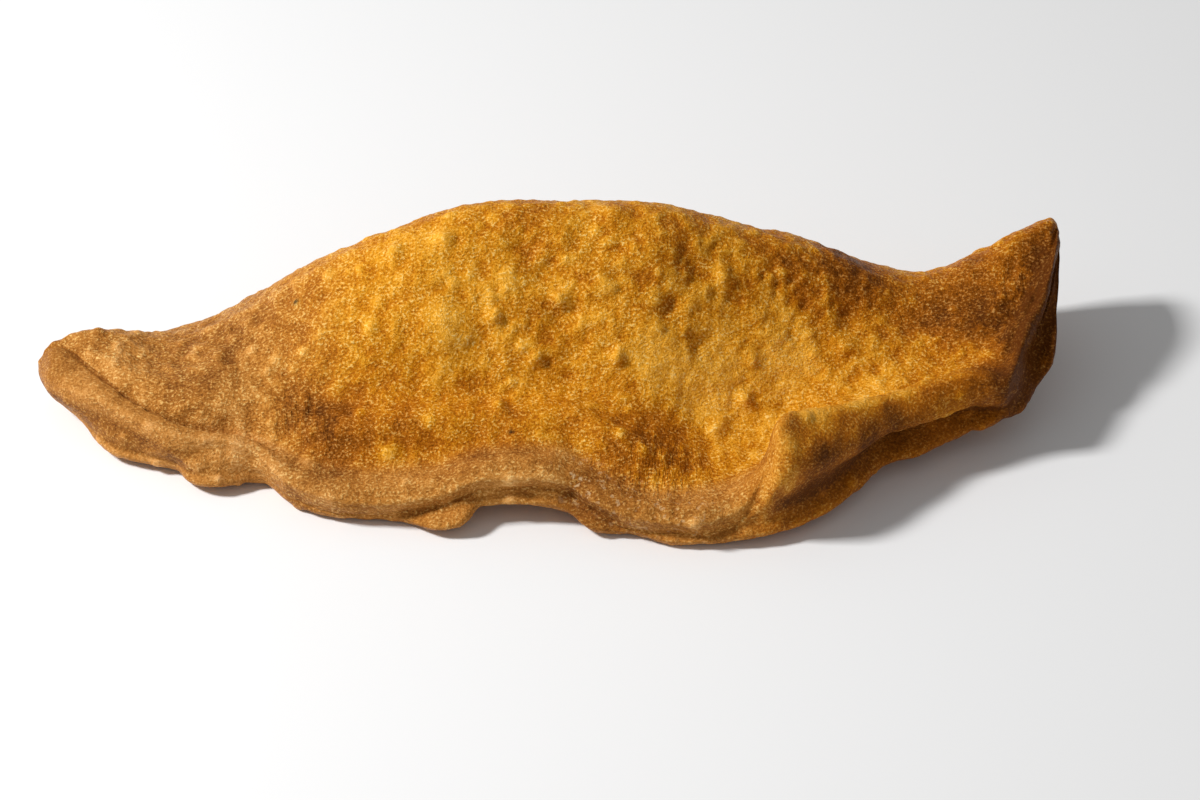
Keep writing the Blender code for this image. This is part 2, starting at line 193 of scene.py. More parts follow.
def section_corners(x):
    """The named points of the cross-section at station x, as (y, z) rows, in order round it."""
    edge = np.array([along(EDGE_Y, x), along(EDGE_Z, x)])
    tilt = math.radians(along(EDGE_TILT, x))
    out = np.array([-math.cos(tilt), math.sin(tilt)])
    up = np.array([math.sin(tilt), math.cos(tilt)])
    half = along(EDGE_HALF, x)
    groove = np.array([along(GROOVE_Y, x), along(GROOVE_Z, x)])
    crest = np.array([eased(CREST_Y, x), eased(CREST_Z, x)])
    reach = crest[0] - groove[0]
    valley = np.array([groove[0] + VALLEY_SHARE * reach, eased(VALLEY_Z, x)])
    face_up = valley[1] + eased(FACE_RISE, x) * (crest[1] - valley[1])
    face = np.array([groove[0] + FACE_SHARE * reach, face_up])
    fold = np.array([eased(FOLD_Y, x), eased(FOLD_Z, x)])
    depth = fold[0] - crest[0]
    lower = np.array([along(LOWER_Y, x), along(LOWER_Z, x)])
    foot = min(along(FOOT_Z, x), lower[1] - FOOT_CLEAR)
    tip, top, chin = (
        edge + (out * math.cos(angle) + up * math.sin(angle)) * half
        for angle in (NOSE_ANGLE, TOP_ANGLE, CHIN_ANGLE)
    )
    height = min(along(SEAM_Z, x), chin[1] - SEAM_CLEAR)
    share = (chin[1] - height) / max(chin[1] - lower[1], SEAM_CLEAR)
    seam = chin + min(share, SEAM_LOWEST) * (lower - chin) + (along(SEAM_DEPTH, x), 0)
    rise = chin - seam
    cheek = (chin + seam) / 2 + along(SWELL, x) * np.array([-rise[1], rise[0]])
    return np.array([
        tip,
        top,
        groove,
        (groove[0] + ROLL_SHARE * reach, eased(ROLL_Z, x)),
        valley,
        face,
        crest,
        (crest[0] + SHOULDER_OUT * depth, fold[1] + SHOULDER_UP * (crest[1] - fold[1])),
        fold,
        (fold[0] - BACK_IN * depth, foot + BACK_UP * (fold[1] - foot)),
        (crest[0] + REST_IN * depth, foot),
        (lower[0] + FOOT_SET_BACK + FOOT_SLANT * (lower[1] - foot), foot),
        (lower[0] + HEEL_BACK, max(lower[1] - HEEL_DROP, foot)),
        lower,
        seam,
        cheek,
        chin,
    ])


def round_curve(corners, counts):
    """Points along a closed smooth curve through the corners, with the given number in each stretch."""
    before, after, beyond = (np.roll(corners, k, axis=0) for k in (1, -1, -2))
    points = []
    for a, b, c, d, n in zip(before, corners, after, beyond, counts):
        ab, bc, cd = (
            math.sqrt(max(np.linalg.norm(q - p), LEAST_STRETCH)) for p, q in ((a, b), (b, c), (c, d))
        )
        leave = (c - b) / bc - (c - a) / (ab + bc) + (b - a) / ab
        arrive = (d - c) / cd - (d - b) / (bc + cd) + (c - b) / bc
        points += [curve(b, leave * bc, c, arrive * bc, t) for t in np.arange(n) / n]
    return np.array(points)


def close_end(ring, x):
    """Thins the section towards its middle line near a tip, so that the tip is rounded and not cut square."""
    size = LEFT_ROUND if x < 0 else RIGHT_ROUND
    gap = HALF_LENGTH - abs(x)
    if gap >= size:
        return ring
    share = math.sqrt(1 - (1 - gap / size) ** 2)
    low, high = ring[:, 0].min(), ring[:, 0].max()
    middle = (low + high) / 2
    line = np.interp(ring[:, 0], [low, high], [along(SEAM_Z, x), along(FOLD_Z, x)])
    pull = 1 - (1 - share) * size / max((high - low) / 2, size)
    return np.stack([middle + (ring[:, 0] - middle) * pull, line + (ring[:, 1] - line) * share], axis=1)


def stations(count):
    """Stations along the length, closer together where the tips round off."""
    t = np.linspace(-1, 1, count)
    even = HALF_LENGTH * t
    close = HALF_LENGTH * np.sin(t * math.pi / 2)
    places = (1 - END_EASE) * even + END_EASE * close
    return np.clip(places, -HALF_LENGTH + END_SLIT, HALF_LENGTH - END_SLIT)


def skin(count, counts):
    """The crust's points, as rows of sections: (section, point round it, xyz)."""
    rows = []
    for x in stations(count):
        ring = close_end(round_curve(section_corners(x), counts), x)
        rows.append(np.column_stack([np.full(len(ring), x), ring]))
    return np.array(rows)


def outward(points):
    """The skin's outward direction at each of its points."""
    across = np.roll(points, -1, axis=1) - np.roll(points, 1, axis=1)
    length = np.gradient(points, axis=0)
    normals = np.cross(length, across)
    return normals / np.maximum(np.linalg.norm(normals, axis=2, keepdims=True), 1e-6)


# Forms raised on the upper skin, or pressed into it, as (x, y, z, radius, height) of each one's middle.
SWELLS = [(-26, 2, 34, 8, 0.9), (-21, -9, 24, 7, 0.8), (8, -0.5, 32, 6, 0.8), (12, 11, 39, 5, 0.9),
          (19, 4, 35, 6, 0.6), (-43, -4, 24, 4, 0.6), (64, 2, 15, 7, 0.6), (79, 4, 16, 8, 0.9),
          (90, 0, 18, 5, 0.7)]
HOLLOWS = [(-5, 4, 36.5, 5.5, -1), (-1, 0, 32.5, 4.5, -0.8), (2, -5.5, 26.5, 4.5, -0.7),
           (-13, -10, 21.5, 6, -0.7), (-12, 7.5, 39.5, 4, -0.7), (5.5, 7, 38, 4, -0.6),
           (27, 3.5, 31.5, 4.5, -0.6), (24, -3, 27, 5, -0.6), (29.5, -6, 21, 5.5, -0.7),
           (28, -14, 13, 5, -0.6), (57, 4, 19, 5, -0.6), (-63, 0, 16.5, 4, -0.6), (-60, -6, 16.5, 4.5, -0.6)]
BLISTERS = [(2, -3.5, 29, 2.8, 1), (-10.5, -6, 27, 2.6, 0.8), (-2.5, -10, 20.5, 2.8, 0.9),
            (13, -10.5, 21, 3, 1), (-9.5, -19, 16, 2.8, 0.9), (-20, 5, 37, 3, 1), (-29.5, 4.5, 34.5, 3, 0.8),
            (20.5, 1.5, 32, 2.8, 0.8), (26, 2.5, 31, 2.8, 0.8), (33.5, 4.5, 28.5, 3, 0.9),
            (32, -17.5, 9, 3.4, 1), (37.5, -12, 11.5, 3, 0.9), (39, -6, 16.5, 3, 0.8),
            (57, -1, 15.5, 3.4, 0.7), (-88, 5.5, 15.5, 2.4, 1)]

# Slow lumps all over, as the dough puffs unevenly.
LUMP_HEIGHT = 0.35
LUMP_LENGTH = 8.5


def spots(points, places):
    """The sum at each point of soft round spots, given as (x, y, z, radius, amount) of each one's middle."""
    total = np.zeros(points.shape[:2])
    for x, y, z, radius, amount in places:
        away = np.linalg.norm(points - (x, y, z), axis=2) / radius
        total += amount * np.clip(1 - away * away, 0, 1) ** 2
    return total


def waves(points, size, seed=0):
    """Smooth noise from -1 to 1 at each point, with features of about the given size."""
    values = [noise.noise(Vector(p) / size + Vector((seed, 0, 0))) for p in points.reshape(-1, 3)]
    return np.array(values).reshape(points.shape[:2])


def ramp(values, low, high):
    """0 where a value is at low, 1 where it is at high, and a smooth step between."""
    t = np.clip((values - low) / (high - low), 0, 1)
    return t * t * (3 - 2 * t)


# Places round the section, counted in stretches: 0 the edge's tip, 1 its top, 2 the groove, 3 the roll, 4 the
# valley, 5 the face, 6 the crest, 8 the fold, 10 to 12 the foot, 13 the lower layer's front, 14 the seam, 15
# the upper layer's swell over it and 16 the edge's chin.
PLACES = len(STRETCHES)
form = skin(STATIONS, STRETCHES)
facing = outward(form)
station = form[:, :, 0]
place = np.concatenate([k + np.arange(n) / n for k, n in enumerate(STRETCHES)])[None, :]


def band(start, stop, soft=0.4, enter=None, leave=None):
    """1 between two places round the section, fading over the given number of stretches at both ends. It
    comes in and goes out over the two pairs of stations, where they are given."""
    gone = (place - start) % PLACES
    length = stop - start
    inside = np.where(gone <= length, np.minimum(gone, length - gone), 0)
    strength = ramp(inside, 0, soft) * np.ones_like(station)
    if enter:
        strength = strength * ramp(station, *enter)
    if leave:
        strength = strength * (1 - ramp(station, *leave))
    return strength


# Small blisters that the frying raises, spread evenly by area, but not at the very tips: how many, how wide,
# how high for their width, how deep one in three has sunk in, and how many sections at each tip have none.
SMALL_BLISTERS = 640
BLISTER_RADIUS = (0.7, 1.9)
BLISTER_RISE = (0.1, 0.34)
SUNKEN = -0.25
BARE_LEFT = 14
BARE_RIGHT = 10
BLISTER_SEED = 11
draw = np.random.default_rng(BLISTER_SEED)
lengths = np.linalg.norm(np.gradient(form, axis=0), axis=2)
widths = np.linalg.norm(np.roll(form, -1, axis=1) - form, axis=2)
chance = lengths * widths
chance[:BARE_LEFT] = 0
chance[-BARE_RIGHT:] = 0
chosen = draw.choice(chance.size, SMALL_BLISTERS, replace=False, p=(chance / chance.sum()).reshape(-1))
points = form.reshape(-1, 3)
grid = kdtree.KDTree(len(points))
for index, point in enumerate(points):
    grid.insert(point, index)
grid.balance()
small = np.zeros(len(points))
for centre in chosen:
    radius = draw.uniform(*BLISTER_RADIUS)
    height = radius * draw.uniform(*BLISTER_RISE) * draw.choice((1, 1, SUNKEN))
    for _, index, away in grid.find_range(points[centre], radius):
        small[index] += height * (1 - (away / radius) ** 2) ** 1.5
small = small.reshape(form.shape[:2])

# Fine pleats where the skin is drawn round a bend: down the front roll's right flank, in the left valley and
# up the right tip.
PLEAT_DEPTH = 0.5
PLEAT_LENGTH = 1.4
PLEAT_STRETCH = (1, 0.25, 0.25)
pleats = waves(form * PLEAT_STRETCH, PLEAT_LENGTH, seed=3)
PLEATED = [(21, -29, 9, 14, 1), (-48, -20, 14, 9, 1), (-42, -25, 13, 6, 0.6), (92, 12, 19, 9, 0.7)]
pleated = spots(form, PLEATED)

# The skin is uneven at several sizes, each a length and a height: more so on the belly, its right flank and
# the tips' upper sides, and less by these shares where the dough was pressed smooth or lies underneath.
FINE = [(4.4, 0.26), (2.3, 0.3), (1.4, 0.21)]
BEHIND_RIM = PLACES + 2.3
rim = band(15.4, BEHIND_RIM, 0.7)
lip = band(13, BEHIND_RIM, 0.7, enter=(34, 50), leave=(82, 90))
left_rim = band(12, PLACES + 2.6, 0.7, leave=(-70, -56))
lower_layer = band(11.2, 14.3)
PRESSED = [(rim, 0.2), (lip, 0.35), (left_rim, 0.35), (lower_layer, 0.4)]
calm = np.prod([1 - share * where for where, share in PRESSED], axis=0)
ROUGHER = [(26, 4, 30, 20, 0.9), (48, 8, 24, 18, 0.7), (-62, 0, 15, 12, 0.4), (0, -2, 30, 24, 0.6),
           (94, 4, 20, 14, 0.8)]
rough = calm * (1 + spots(form, ROUGHER))

# The larger blisters come to a small top.
TOP_RADIUS = 0.5
TOP_HEIGHT = 0.45
tops = [(x, y, z, TOP_RADIUS * radius, height) for x, y, z, radius, height in BLISTERS]
topped = spots(form, tops)
rise = spots(form, SWELLS + HOLLOWS + BLISTERS) + TOP_HEIGHT * topped + small
rise += LUMP_HEIGHT * waves(form, LUMP_LENGTH) + PLEAT_DEPTH * pleats * pleated
fine = rough * sum(height * waves(form, length, seed=length) for length, height in FINE)
rise += fine

# The pinch leaves a thin ridge along the rim's edge, and a sharp line behind it at the left.
RIDGE_HEIGHT = 0.35
LINE_DEPTH = 0.6
PINCH_START = (-97, -90)
ridge = band(PLACES - 0.2, PLACES + 0.7, 0.45, enter=PINCH_START, leave=(30, 37))
line = band(PLACES + 1.7, PLACES + 2.4, 0.35, enter=PINCH_START, leave=(-66, -54))
rise += RIDGE_HEIGHT * ridge - LINE_DEPTH * line

# The relief stands out from the form, and nothing of it goes below the floor.
surface = form + facing * rise[:, :, None]
surface[:, :, 2] = np.maximum(surface[:, :, 2], 0)

# The design's middle goes where the frame holds the solid's.
cad_low, cad_high = (np.array(corner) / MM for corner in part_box("panzerotto"))
low, high = surface.reshape(-1, 3).min(0), surface.reshape(-1, 3).max(0)
shift = (cad_low + cad_high) / 2 - (low + high) / 2
shift[2] = cad_low[2]
surface += shift

rows, columns = form.shape[:2]
faces = []
for r in range(rows - 1):
    for c in range(columns):
        after = (c + 1) % columns
        faces.append((r * columns + c, (r + 1) * columns + c, (r + 1) * columns + after, r * columns + after))
faces.append(tuple(range(columns)))
faces.append(tuple(reversed(range((rows - 1) * columns, rows * columns))))
mesh = bpy.data.meshes.new("crust")
mesh.from_pydata((surface * MM).reshape(-1, 3).tolist(), [], faces)
shaper = bmesh.new()
shaper.from_mesh(mesh)
bmesh.ops.recalc_face_normals(shaper, faces=shaper.faces)
shaper.to_mesh(mesh)
shaper.free()
mesh.shade_smooth()
crust = bpy.data.objects.new("crust", mesh)
bpy.context.scene.collection.objects.link(crust)
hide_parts("panzerotto")
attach(crust, "root")


# The crust's browning: how far each place has fried, from pale dough at 0 to dark brown at 1, with painted
# shade and painted highlight worked into it in places, and where it is tan, floury or charred. Each is kept
# on the mesh's points, and the material turns them into colour.
BAKE = 0.36
LEAST_BAKE = 0.15

# Round spots that are darker than the rest or, with an amount below 0, paler, by part of the crust. Most are
# browning; a few are painted shade and painted highlight, marked where they stand.
BROWNING_AND_PAINTED_LIGHT = {
    "left tip": [
        (-92, 0, 12, 14, 0.2), (-88, -6, 11, 14, -0.12), (-84, -17, 4, 8, -0.1), (-84, -10, 11, 7, 0.08),
        (-78, -13, 11, 7, 0.08),
    ],
    "left wing": [
        (-76, -21, 4, 5, -0.14), (-76, -21, 4, 7, -0.06), (-72, -4, 14, 22, -0.1), (-71, 4, 13, 10, 0.12),
        (-70, -16, 10, 9, 0.08), (-70, -11, 14, 9, 0.16), (-70, -2, 14, 24, 0.22), (-66, -21, 8, 9, -0.12),
        (-66, -8, 15, 10, 0.05), (-62, -2, 16, 7, 0.14), (-60, -24, 6, 9, -0.12), (-60, -9, 16, 8, 0.08),
        (-55, -4, 18, 7, -0.1), (-54, 2, 22, 13, 0.16), (-50, -11, 15, 9, 0.1), (-50, -6, 20, 8, 0.12),
    ],
    "belly": [
        (-46, 0, 26, 8, 0.08), (-40, -5, 21, 8, 0.1), (-33, -13, 16.5, 8, 0.13), (-26, 2, 34, 20, -0.04),
        (-25, 12, 38, 8, 0.12), (-17, -9, 24, 7, -0.18), (-16, -14, 17, 4, 0.1), (-13, -9.5, 22, 4, 0.16),
        (-8, 0, 30, 16, -0.06), (-5, 12, 39, 16, 0.08), (-4, 2.5, 35.5, 5, 0.16), (0, -4.5, 27, 4, 0.12),
        (21, -13, 17, 8, -0.12), (21, -9, 21, 9, -0.28), (22, 2, 30, 18, 0.08), (29, 12, 35, 12, 0.1),
        (30, 0, 26, 9, -0.12), (31, 10, 32, 7, -0.12),
    ],
    # The strong dark spots near (-47, -18) and (-40, -21) are partly browning, partly painted shade in the
    # valley.
    "front roll and rim": [
        (-48, -31, 3.5, 6, 0.14), (-47, -18, 13, 9, 0.3), (-40, -27, 9, 9, 0.2), (-40, -21, 14, 13, 0.26),
        (-40, -20, 14, 7, 0.1), (-28, -24, 15, 11, 0.18), (-25, -20, 15, 9, 0.08), (-12, -25, 14, 14, 0.18),
        (-9, -35, 7, 5, -0.16), (-9, -33, 12, 7, -0.14), (2, -34, 6, 7, -0.08), (6, -35, 6, 8, 0.34),
        (6, -22, 14, 9, 0.12), (13, -37, 5, 8, 0.18), (13, -30, 10, 8, 0.14), (13, -27, 11.5, 8, 0.16),
        (18, -22, 13.5, 12, 0.14), (21, -38, 6, 7, 0.04), (24, -24, 11, 12, 0.22), (28, -38, 8, 8, -0.04),
    ],
    # These paler spots are partly paler dough and partly painted light that brightens the hollow.
    "basin": [
        (31, -11, 15, 10, -0.42), (36, -16, 11, 6, -0.1), (44, -19, 9, 7, -0.1), (44, -4, 14, 11, -0.26),
        (44, 4, 23, 7, -0.26), (58, -6, 13, 12, -0.08),
    ],
    "right flank": [
        (36, 8, 30, 7, -0.1), (46, 10, 27, 18, 0.2), (48, 8, 27, 9, 0.08), (55, 5, 18, 9, 0.08),
        (56, 17, 22, 8, 0.12), (57, 10, 20, 10, 0.06), (58, -2, 18, 8, 0.06), (60, 15, 23, 12, 0.36),
        (61, -4, 17, 7, 0.08), (66, 8, 18, 12, 0.2), (67, 12, 16, 7, -0.12), (75, 0, 16, 14, 0.08),
        (75, 10, 17.5, 8, 0.14), (77, 3, 16, 10, 0.08),
    ],
    # Painted highlight: the paler spots at (43, -38) and (44.5, -35) widen the lip's lit left edge.
    "lip": [
        # The three small dark spots of radius 2.4 are partly browning, partly painted shade along that lit
        # edge.
        (42.6, -39.4, 12.6, 2.4, 0.2), (43, -38, 14, 5, -0.22), (43.6, -37.9, 16, 2.4, 0.2),
        (44.5, -35, 20, 5, -0.2), (45, -36.4, 18.4, 2.4, 0.16), (46, -37, 9, 6, 0.08),
        (49, -35, 15, 6, 0.14), (50, -33.5, 16.5, 4, 0.16), (50, -28, 17, 6, -0.14), (50, -28, 21, 6, -0.3),
        (52, -34, 5, 6, -0.1), (52, -34, 15, 8, 0.1), (55, -28, 19, 8, -0.06), (58, -22, 19, 8, -0.2),
        (60, -27, 14.5, 5, 0.3), (60, -22, 20, 5, -0.14), (65, -23.5, 13.5, 5, 0.16), (66, -20, 17, 6, 0.1),
        (67, -19, 18, 5, -0.3), (75, -17, 8, 8, 0.14), (75, -15, 11, 9, -0.24), (82, -12, 18, 6, 0.2),
        (83, -13, 9, 7, -0.24), (84, -14, 8, 9, 0.34),
    ],
    "right tip": [
        (80, 8, 18, 8, 0.06), (80, 11, 18, 15, 0.3), (83, -8.5, 14.5, 6, 0.5), (83, 20, 19, 9, 0.2),
        (86.6, -13.3, 18, 5, 0.45), (87.6, -11.5, 15.5, 5, 0.4), (88.7, 6, 18, 6, -0.14),
        (90, -7, 13, 8, 0.6), (90, 4, 18, 13, 0.5), (95, 6, 21, 6, 0.14), (96, 11, 22, 10, 0.3),
        (97, 18, 24, 14, 0.42), (97, 18, 25, 7, 0.16),
    ],
}

# Bands of the crust that are darker: how much more, the places that they lie between, how softly they
# fade, and the stations that they come in and go out over, where they don't run the whole length. Most are
# browning; the ones under the lip are painted shade, and those at the right tip partly painted shade.
BROWNED_AND_SHADED_BANDS = {
    "rim": (0.1, 15.4, BEHIND_RIM, 0.7),
    "rim's front": (0.12, 13.6, 16.4, 0.8),
    "front of the left rim": (0.2, 13.6, 16.6, 0.6, None, (-68, -58)),
    "front of the lip": (0.16, 13.4, 16.6, 0.8, (42, 60)),
    "left end of the lip": (0.14, 0.5, 1.9, 0.5, (39, 42), (43, 48)),
    "left half of the lip's front": (0.05, 14.7, 16.7, 0.5, (42, 45), (52, 62)),
    # Painted shade: the crease under the lip, darkened where the lip hangs over it.
    "under the lip": (0.14, 13, 14.9, 0.5, (38, 52), (78, 86)),
    "seam under the lip": (0.32, 13.8, 14.6, 0.35, (38, 44), (84, 90)),
    "lower layer": (0.12, 11.2, 14.3),
    "lower layer at the right": (0.14, 11.2, 14.3, 0.4, (30, 56)),
    "foot": (0.1, 10, 12),
    "back": (0.06, 7.2, 11),
    # Partly browning and partly painted shade: the right tip darkens towards its side turned from the lamp.
    "underside of the right tip": (0.3, 8, PLACES + 1.6, 0.8, (84, 91)),
    "upper side of the right tip": (0.3, PLACES, PLACES + 4.5, 1.2, (85, 93)),
    "edge of the right tip": (0.4, PLACES - 0.6, PLACES + 1.2, 0.5, (88, 93)),
}

# Mottling in patches of several sizes, each a length and a share. Blisters and raised grains are paler by
# these amounts and sunken ones darker, partly the dough's own tone and partly painted shade. The larger
# blisters' tops and the pinched ridge get a painted highlight, and the line behind the ridge painted shade.
MOTTLED = [(12, 0.08), (5, 0.08), (2.4, 0.08)]
BLISTER_PALER = 0.2
BLISTER_FULL = 0.3
TOP_HIGHLIGHT = 0.3
FINE_PALER = 0.36
RIDGE_HIGHLIGHT = 0.1
LINE_SHADE = 0.26
bake_and_painted_light = BAKE + sum(spots(form, places) for places in BROWNING_AND_PAINTED_LIGHT.values())
bake_and_painted_light += calm * sum(share * waves(form, size, seed=size) for size, share in MOTTLED)
bake_and_painted_light += sum(amount * band(*where) for amount, *where in BROWNED_AND_SHADED_BANDS.values())
# Painted highlight on blister tops and the ridge, and painted shade in sunken places and the line behind it.
bake_and_painted_light -= BLISTER_PALER * np.clip(small / BLISTER_FULL, -1, 1) + TOP_HIGHLIGHT * topped + FINE_PALER * fine
bake_and_painted_light += LINE_SHADE * line - RIDGE_HIGHLIGHT * ridge
bake_and_painted_light = np.clip(bake_and_painted_light, LEAST_BAKE, 1)

# Where the dough is thick and its colour duller: along the front, a little on the lip, and on the whole left
# wing, where it goes out over these stations.
TAN_BANDS = {
    "front": (0.85, 11.2, BEHIND_RIM, 0.7, None, (30, 50)),
    "lip": (0.1, 13, BEHIND_RIM, 0.7, (34, 50), (66, 76)),
}
TAN_LEFT = 0.9
LEFT_WING = (-62, -34)
tan = TAN_LEFT * (1 - ramp(station, *LEFT_WING))
tan += sum(amount * band(*where) for amount, *where in TAN_BANDS.values())
tan = np.clip(tan, 0, 1)

# Flour left on the front rim and in the left seam, and a few charred specks.
FLOURED = [(6, -34, 10, 8, 0.6), (16, -38, 7, 9, 0.5), (26, -40, 6, 8, 0.4), (-76.3, -19.4, 6.2, 1, 0.4),
           (-74.7, -20.3, 6, 1, 0.4), (-73.1, -21.1, 5.9, 1, 0.4)]
CHARRED = [(-48.6, 1.2, 24.7, 0.9, 1.6), (-7.2, -24.3, 14, 0.8, 1.44), (42.4, -33.4, 8.6, 1.1, 1.6),
           (43.7, -34.4, 13, 0.9, 1.44)]
flour = np.clip(spots(form, FLOURED), 0, 1)
char = np.clip(spots(form, CHARRED), 0, 1)
kept = {"bake_and_painted_light": bake_and_painted_light, "tan": tan, "flour": flour, "char": char, "pleated": pleated, "calm": calm}
for name, values in kept.items():
    layer = mesh.attributes.new(name, "FLOAT", "POINT")
    layer.data.foreach_set("value", values.reshape(-1).astype(np.float32))


# The crust's material: oily fried dough. Two node groups make it up: the grain of its blistered skin, and its
# colour from the browning with its painted shade and highlight, and the painted glints. Everything is laid
# out in object coordinates, in metres.
def add(tree, kind, operation=None, **values):
    """A new node, with an operation if it takes one and the named input values, _ standing for a space."""
    made = tree.nodes.new(kind)
    if operation:
        made.operation = operation
    for label, value in values.items():
        made.inputs[label.replace("_", " ")].default_value = value
    return made


def new_group(name, inputs, outputs):
    """A shader node group with the named inputs and outputs, and its two end nodes."""
    tree = bpy.data.node_groups.new(name, "ShaderNodeTree")
    for label, kind in inputs:
        tree.interface.new_socket(name=label, in_out="INPUT", socket_type=kind)
    for label, kind in outputs:
        tree.interface.new_socket(name=label, in_out="OUTPUT", socket_type=kind)
    return tree, tree.nodes.new("NodeGroupInput"), tree.nodes.new("NodeGroupOutput")


def math_step(tree, operation, first, second):
    """The output of a math node on two sockets or numbers."""
    made = tree.nodes.new("ShaderNodeMath")
    made.operation = operation
    for slot, value in zip(made.inputs, (first, second)):
        if isinstance(value, (int, float)):
            slot.default_value = value
        else:
            tree.links.new(value, slot)
    return made.outputs[0]


def mixed(tree, share, first, second):
    """The colour between two colours, each a socket or an RGB triple, by a share."""
    made = tree.nodes.new("ShaderNodeMix")
    made.data_type = "RGBA"
    tree.links.new(share, made.inputs[0])
    for slot, value in zip((made.inputs[6], made.inputs[7]), (first, second)):
        if isinstance(value, tuple):
            slot.default_value = (*value, 1)
        else:
            tree.links.new(value, slot)
    return made.outputs[2]


# Grain: the crisp skin's grains, half a millimetre wide, the places of painted glints on their highest
# points, the flour's specks, streaks drawn along the pleats, and blotches a few millimetres wide. A scale is
# the number of features along a metre, and a painted glint or a speck comes up between two values of its
# noise.
GRAIN_SCALE = 2200
GRAIN_STRETCH = (0.8, 1, 1)
SPECK_SCALE = 800
STREAK_SCALE = 1000
STREAK_STRETCH = (1, 0.28, 0.28)
BLOTCH_SCALE = 230
FINENESS = 0.68
NOISE_MIDDLE = 0.5
GLINTS_BETWEEN = (0.54, 0.66)
SPECKS_BETWEEN = (0.57, 0.68)
grain, grain_in, grain_out = new_group(
    "crisp_grain",
    [("Vector", "NodeSocketVector")],
    [(label, "NodeSocketFloat") for label in ("Grains", "Glints", "Specks", "Streaks", "Blotches")],
)
textures = {}
for label, scale, detail, stretch in (
    ("Grains", GRAIN_SCALE, 3, GRAIN_STRETCH),
    ("Specks", SPECK_SCALE, 1.5, (1, 1, 1)),
    ("Streaks", STREAK_SCALE, 2, STREAK_STRETCH),
    ("Blotches", BLOTCH_SCALE, 4, (1, 1, 1)),
):
    stretched = add(grain, "ShaderNodeVectorMath", "MULTIPLY")
    grain.links.new(grain_in.outputs["Vector"], stretched.inputs[0])
    stretched.inputs[1].default_value = stretch
    texture = add(grain, "ShaderNodeTexNoise", Scale=scale, Detail=detail, Roughness=FINENESS)
    grain.links.new(stretched.outputs[0], texture.inputs["Vector"])
    textures[label] = texture.outputs[0]
for label in ("Grains", "Streaks", "Blotches"):
    grain.links.new(math_step(grain, "SUBTRACT", textures[label], NOISE_MIDDLE), grain_out.inputs[label])
for label, source, limits in (("Glints", "Grains", GLINTS_BETWEEN), ("Specks", "Specks", SPECKS_BETWEEN)):
    picked = add(grain, "ShaderNodeMapRange", From_Min=limits[0], From_Max=limits[1])
    picked.interpolation_type = "SMOOTHSTEP"
    grain.links.new(textures[source], picked.inputs["Value"])
    grain.links.new(picked.outputs["Result"], grain_out.inputs[label])

# Colour: pale dough, gold, amber, chestnut and dark brown as the frying goes on, with a duller row for the
# tan rim, where the dough is thick and floury. Each shade stands beside the browning that it belongs to.
GOLD_ROW = [(0.0, (1.0, 0.5, 0.06)), (0.25, (0.8, 0.35, 0.02)), (0.42, (0.6, 0.21, 0.003)),
            (0.6, (0.41, 0.113, 0.002)), (0.8, (0.23, 0.06, 0.001)), (1.0, (0.1, 0.022, 0.001))]
TAN_ROW = [(0.0, (0.86, 0.47, 0.18)), (0.25, (0.67, 0.31, 0.085)), (0.42, (0.51, 0.208, 0.042)),
           (0.6, (0.34, 0.125, 0.02)), (0.8, (0.2, 0.062, 0.01)), (1.0, (0.09, 0.025, 0.004))]
# PAINTED_GLINT: a painted highlight, pale gold, where the grains' highest points would catch the lamp.
PAINTED_GLINT = (1.0, 0.75, 0.28)
FLOUR = (0.86, 0.6, 0.32)
SOOT = (0.012, 0.008, 0.006)
colour, colour_in, colour_out = new_group(
    "fried_colour_and_painted_light",
    [(label, "NodeSocketFloat") for label in ("Bake", "Tan", "Glints", "Flour", "Char")],
    [("Color", "NodeSocketColor")],
)
rows_of_colour = []
for row in (GOLD_ROW, TAN_ROW):
    scale = colour.nodes.new("ShaderNodeValToRGB")
    stops = scale.color_ramp.elements
    while len(stops) < len(row):
        stops.new(0.5)
    for stop, (position, shade) in zip(stops, row):
        stop.position = position
        stop.color = (*shade, 1)
    colour.links.new(colour_in.outputs["Bake"], scale.inputs["Fac"])
    rows_of_colour.append(scale.outputs["Color"])
crusted = mixed(colour, colour_in.outputs["Tan"], *rows_of_colour)
glinted = mixed(colour, colour_in.outputs["Glints"], crusted, PAINTED_GLINT)
floured = mixed(colour, colour_in.outputs["Flour"], glinted, FLOUR)
charred = mixed(colour, colour_in.outputs["Char"], floured, SOOT)
colour.links.new(charred, colour_out.inputs["Color"])

# The oily dough itself. Blotches, streaks and grains shift the browning by these shares. The painted glints
# thin out in patches, on calm dough and as the browning nears GLINTS_GONE, and the shine varies with the
# blotches.
BLOTCH_SHARE = 0.26
STREAK_SHARE = 0.9
GRAIN_SHARE = 1.25
CALM_GRAINS = 0.5
GLINT_SHARE = 0.56
GLINT_PATCHES = 1.9
GLINTS_GONE = 1.2
DULL = 0.5
DULL_PATCHES = 0.4
OIL_IOR = 1.45
OIL_SHINE = 0.28
OIL_TINT = (1, 0.62, 0.2, 1)
BLOTCH_BUMP = (0.6, 0.0006)
STREAK_BUMP = (1, 0.0009)
GRAIN_BUMP = (1, 0.00045)
dough = bpy.data.materials.new("fried_dough_fine")
dough.use_nodes = True
tree = dough.node_tree
oily = tree.nodes["Principled BSDF"]
oily.inputs["Metallic"].default_value = 0
oily.inputs["IOR"].default_value = OIL_IOR
oily.inputs["Specular IOR Level"].default_value = OIL_SHINE
oily.inputs["Specular Tint"].default_value = OIL_TINT
spot_of = tree.nodes.new("ShaderNodeTexCoord")
grained = tree.nodes.new("ShaderNodeGroup")
grained.node_tree = grain
tree.links.new(spot_of.outputs["Object"], grained.inputs["Vector"])
masks = {}
